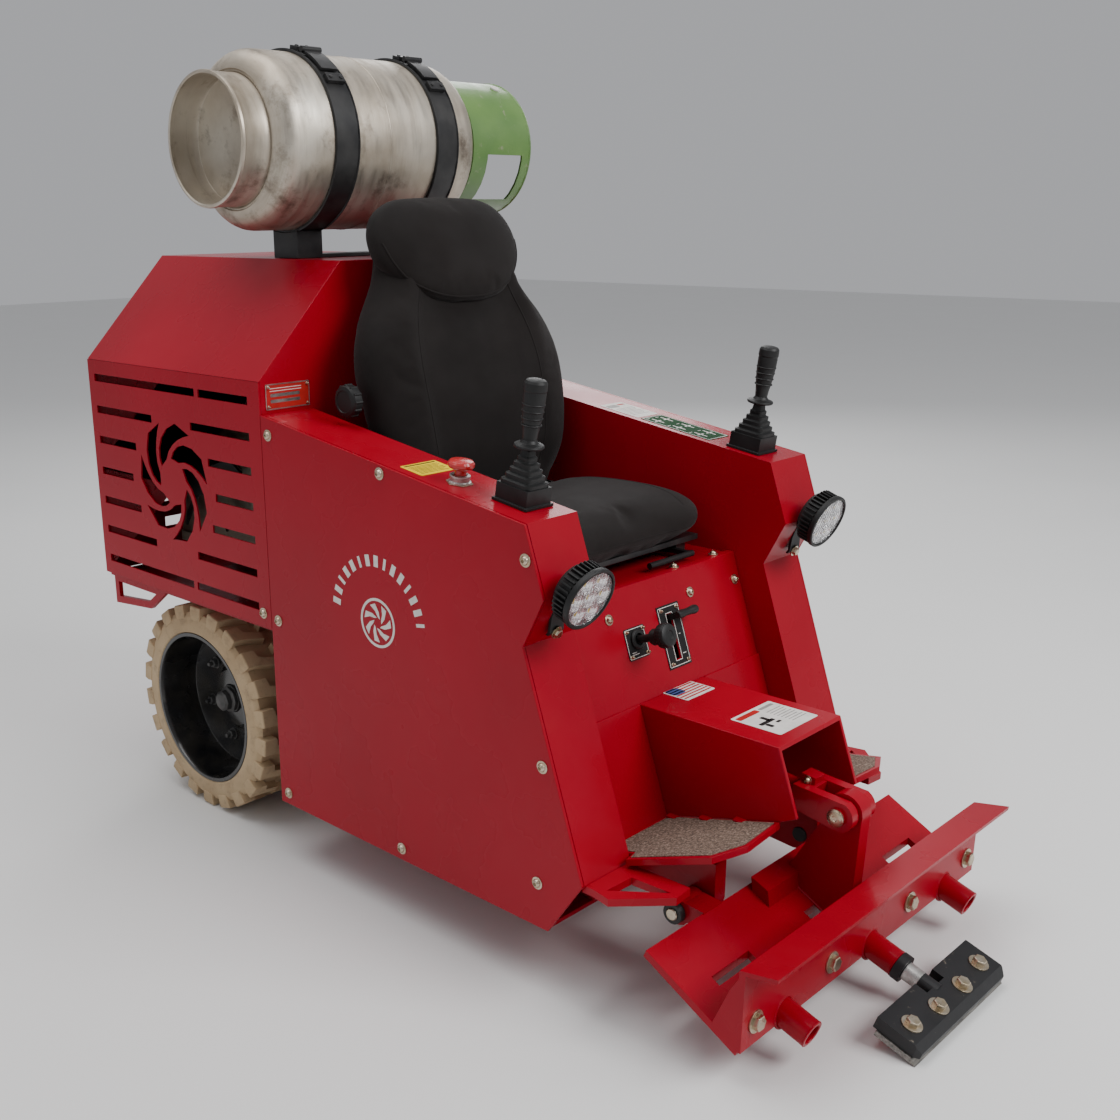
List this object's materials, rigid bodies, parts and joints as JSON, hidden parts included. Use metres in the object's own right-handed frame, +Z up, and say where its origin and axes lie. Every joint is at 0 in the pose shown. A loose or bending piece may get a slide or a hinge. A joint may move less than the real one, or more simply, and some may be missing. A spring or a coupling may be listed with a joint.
{
  "type": "ride-on floor scraper",
  "caption": "Gas-powered ride-on floor scraping machine: red sheet body with arm pods, seat, sideways gas cylinder, tan tyres and a tilting blade head.",
  "frame": {"origin": "on the floor under the middle of the bounding box", "axes": "+Z up, -Y the way the machine drives, -X the driver's right"},
  "size_m": [0.66, 1.5338, 1.2805],
  "materials": {
    "red_paint": "glossy red powder coat",
    "black_paint": "satin black paint",
    "black_plastic": "moulded black plastic and rubber",
    "cast_metal": "cast, oily grey",
    "bare_aluminium": "scuffed bare aluminium",
    "green_paint": "worn green paint",
    "brass_fitting": "machined brass",
    "zinc_plate": "bright zinc plate",
    "blade_steel": "ground tool steel with wear",
    "tan_tread": "tan non-marking solid tyre",
    "grey_rubber": "dark grey wheel rubber",
    "seat_fabric": "black seat cloth",
    "button_red": "red plastic"
  },
  "bodies": {
    "machine": {"chassis_frame": "red_paint", "front_panel": "red_paint", "seat_deck": "red_paint", "front_box": "red_paint", "hood_shell": "red_paint", "hydraulic_tank": "black_paint", "tank_cradle": "black_paint", "engine_block": "cast_metal", "hydraulic_pump": "cast_metal", "oil_cooler": "bare_aluminium", "gas_cylinder": "bare_aluminium", "cylinder_collar": "green_paint", "cylinder_valve": "brass_fitting", "side_panel_right": "red_paint", "pod_cover_right": "red_paint", "foot_plate_right": "red_paint", "grille_panel_right": "red_paint", "wheel_motor_right": "cast_metal", "pivot_pin_right": "black_paint", "joystick_base_right": "black_plastic", "tank_band_right": "black_paint", "side_panel_left": "red_paint", "pod_cover_left": "red_paint", "foot_plate_left": "red_paint", "grille_panel_left": "red_paint", "wheel_motor_left": "cast_metal", "pivot_pin_left": "black_paint", "joystick_base_left": "black_plastic", "tank_band_left": "black_paint"},
    "fan": {"cooling_fan": "black_plastic"},
    "wheel_right": {"wheel_rim_right": "black_paint", "tyre_right": "tan_tread"},
    "caster_fork_right": {"caster_fork_right": "zinc_plate"},
    "caster_wheel_right": {"caster_wheel_right": "grey_rubber"},
    "joystick_gimbal_right": {"joystick_gimbal_right": "zinc_plate"},
    "joystick_lever_right": {"joystick_lever_right": "black_plastic"},
    "work_light_right": {"work_light_right": "black_plastic"},
    "band_latch_right": {"band_latch_right": "black_paint"},
    "wheel_left": {"wheel_rim_left": "black_paint", "tyre_left": "tan_tread"},
    "caster_fork_left": {"caster_fork_left": "zinc_plate"},
    "caster_wheel_left": {"caster_wheel_left": "grey_rubber"},
    "joystick_gimbal_left": {"joystick_gimbal_left": "zinc_plate"},
    "joystick_lever_left": {"joystick_lever_left": "black_plastic"},
    "work_light_left": {"work_light_left": "black_plastic"},
    "band_latch_left": {"band_latch_left": "black_paint"},
    "seat": {"seat_pan": "black_paint", "seat_cushion": "seat_fabric"},
    "seat_lever": {"seat_lever": "black_plastic"},
    "backrest": {"backrest": "seat_fabric"},
    "lumbar_knob": {"lumbar_knob": "black_plastic"},
    "estop": {"estop_button": "button_red"},
    "choke": {"choke_knob": "black_plastic"},
    "throttle": {"throttle_lever": "black_plastic"},
    "lift_barrel": {"lift_cylinder_barrel": "red_paint"},
    "lift_rod": {"lift_cylinder_rod": "red_paint"},
    "head": {"head_frame": "red_paint"},
    "blade": {"blade_holder": "black_paint", "cutting_blade": "blade_steel"},
    "handwheel": {"valve_handwheel": "button_red"}
  },
  "joints": [
    {"name": "fan_spin", "type": "hinge", "parent": "machine", "child": "fan", "pos_m": [-0.27, 0.51594, 0.5984], "axis": [1, 0, 0], "continuous": true},
    {"name": "wheel_spin_right", "type": "hinge", "parent": "machine", "child": "wheel_right", "pos_m": [-0.245, 0.51594, 0.1872], "axis": [1, 0, 0], "continuous": true},
    {"name": "caster_swivel_right", "type": "hinge", "parent": "machine", "child": "caster_fork_right", "pos_m": [-0.15, -0.17076, 0.088], "axis": [0, 0, 1], "continuous": true},
    {"name": "caster_roll_right", "type": "hinge", "parent": "caster_fork_right", "child": "caster_wheel_right", "pos_m": [-0.15, -0.14276, 0.0375], "axis": [1, 0, 0], "continuous": true},
    {"name": "joystick_drive_right", "type": "hinge", "parent": "machine", "child": "joystick_gimbal_right", "pos_m": [-0.268, -0.22816, 0.67929], "axis": [1, 0, 0], "range_deg": [-18, 18], "stiffness_Nm_per_rad": 2},
    {"name": "joystick_side_right", "type": "hinge", "parent": "joystick_gimbal_right", "child": "joystick_lever_right", "pos_m": [-0.268, -0.22816, 0.67929], "axis": [0, -0.9888, -0.1495], "range_deg": [-18, 18], "stiffness_Nm_per_rad": 2},
    {"name": "light_tilt_right", "type": "hinge", "parent": "machine", "child": "work_light_right", "pos_m": [-0.286, -0.29326, 0.5106], "axis": [1, 0, 0], "range_deg": [0, 12]},
    {"name": "latch_right", "type": "hinge", "parent": "machine", "child": "band_latch_right", "pos_m": [-0.119, 0.36432, 1.27553], "axis": [-1, 0, 0], "range_deg": [0, 110]},
    {"name": "wheel_spin_left", "type": "hinge", "parent": "machine", "child": "wheel_left", "pos_m": [0.245, 0.51594, 0.1872], "axis": [1, 0, 0], "continuous": true},
    {"name": "caster_swivel_left", "type": "hinge", "parent": "machine", "child": "caster_fork_left", "pos_m": [0.15, -0.17076, 0.088], "axis": [0, 0, 1], "continuous": true},
    {"name": "caster_roll_left", "type": "hinge", "parent": "caster_fork_left", "child": "caster_wheel_left", "pos_m": [0.15, -0.14276, 0.0375], "axis": [1, 0, 0], "continuous": true},
    {"name": "joystick_drive_left", "type": "hinge", "parent": "machine", "child": "joystick_gimbal_left", "pos_m": [0.268, -0.22816, 0.67929], "axis": [1, 0, 0], "range_deg": [-18, 18], "stiffness_Nm_per_rad": 2},
    {"name": "joystick_side_left", "type": "hinge", "parent": "joystick_gimbal_left", "child": "joystick_lever_left", "pos_m": [0.268, -0.22816, 0.67929], "axis": [0, -0.9888, -0.1495], "range_deg": [-18, 18], "stiffness_Nm_per_rad": 2},
    {"name": "light_tilt_left", "type": "hinge", "parent": "machine", "child": "work_light_left", "pos_m": [0.286, -0.29326, 0.5106], "axis": [1, 0, 0], "range_deg": [0, 12]},
    {"name": "latch_left", "type": "hinge", "parent": "machine", "child": "band_latch_left", "pos_m": [0.096, 0.36432, 1.27553], "axis": [-1, 0, 0], "range_deg": [0, 110]},
    {"name": "seat_slide", "type": "slide", "parent": "machine", "child": "seat", "axis": [0, -1, 0], "range_m": [0, 0.1]},
    {"name": "seat_lever_lift", "type": "hinge", "parent": "seat", "child": "seat_lever", "pos_m": [0.143, -0.16576, 0.511], "axis": [-1, 0, 0], "range_deg": [0, 12], "stiffness_Nm_per_rad": 1.5},
    {"name": "backrest_fold", "type": "hinge", "parent": "seat", "child": "backrest", "pos_m": [0, 0.14424, 0.562], "axis": [1, 0, 0], "range_deg": [0, 14]},
    {"name": "lumbar_turn", "type": "hinge", "parent": "backrest", "child": "lumbar_knob", "pos_m": [-0.24, 0.15124, 0.759], "axis": [1, 0, 0], "range_deg": [-90, 90]},
    {"name": "estop_press", "type": "slide", "parent": "machine", "child": "estop", "axis": [0, 0.1495, -0.9888], "range_m": [0, 0.005]},
    {"name": "throttle_swing", "type": "hinge", "parent": "machine", "child": "throttle", "pos_m": [0.032, -0.18726, 0.413], "axis": [1, 0, 0], "range_deg": [0, 36]},
    {"name": "choke_slide", "type": "slide", "parent": "machine", "child": "choke", "axis": [0, 0.9462, -0.3236], "range_m": [0, 0.024]},
    {"name": "head_tilt", "type": "hinge", "parent": "machine", "child": "head", "pos_m": [0, -0.44076, 0.117], "axis": [-1, 0, 0], "range_deg": [0, 20]},
    {"name": "blade_swivel", "type": "hinge", "parent": "head", "child": "blade", "pos_m": [0, -0.66776, 0.048], "axis": [0, -0.9511, -0.309], "range_deg": [-4, 4]},
    {"name": "cylinder_swing", "type": "hinge", "parent": "machine", "child": "lift_barrel", "pos_m": [0, -0.07457, 0.30915], "axis": [-1, 0, 0], "range_deg": [0, 5]},
    {"name": "rod_slide", "type": "slide", "parent": "lift_barrel", "child": "lift_rod", "axis": [0, 0.9925, 0.1219], "range_m": [0, 0.065]},
    {"name": "handwheel_turn", "type": "hinge", "parent": "machine", "child": "handwheel", "pos_m": [0.275, 0.41924, 1.1396], "axis": [1, 0, 0], "range_deg": [0, 540]}
  ],
  "couplings": [
    {"joint": "cylinder_swing", "follows": "head_tilt", "ratio": 0.21037},
    {"joint": "rod_slide", "follows": "head_tilt", "m_per_rad": 0.16091}
  ]
}
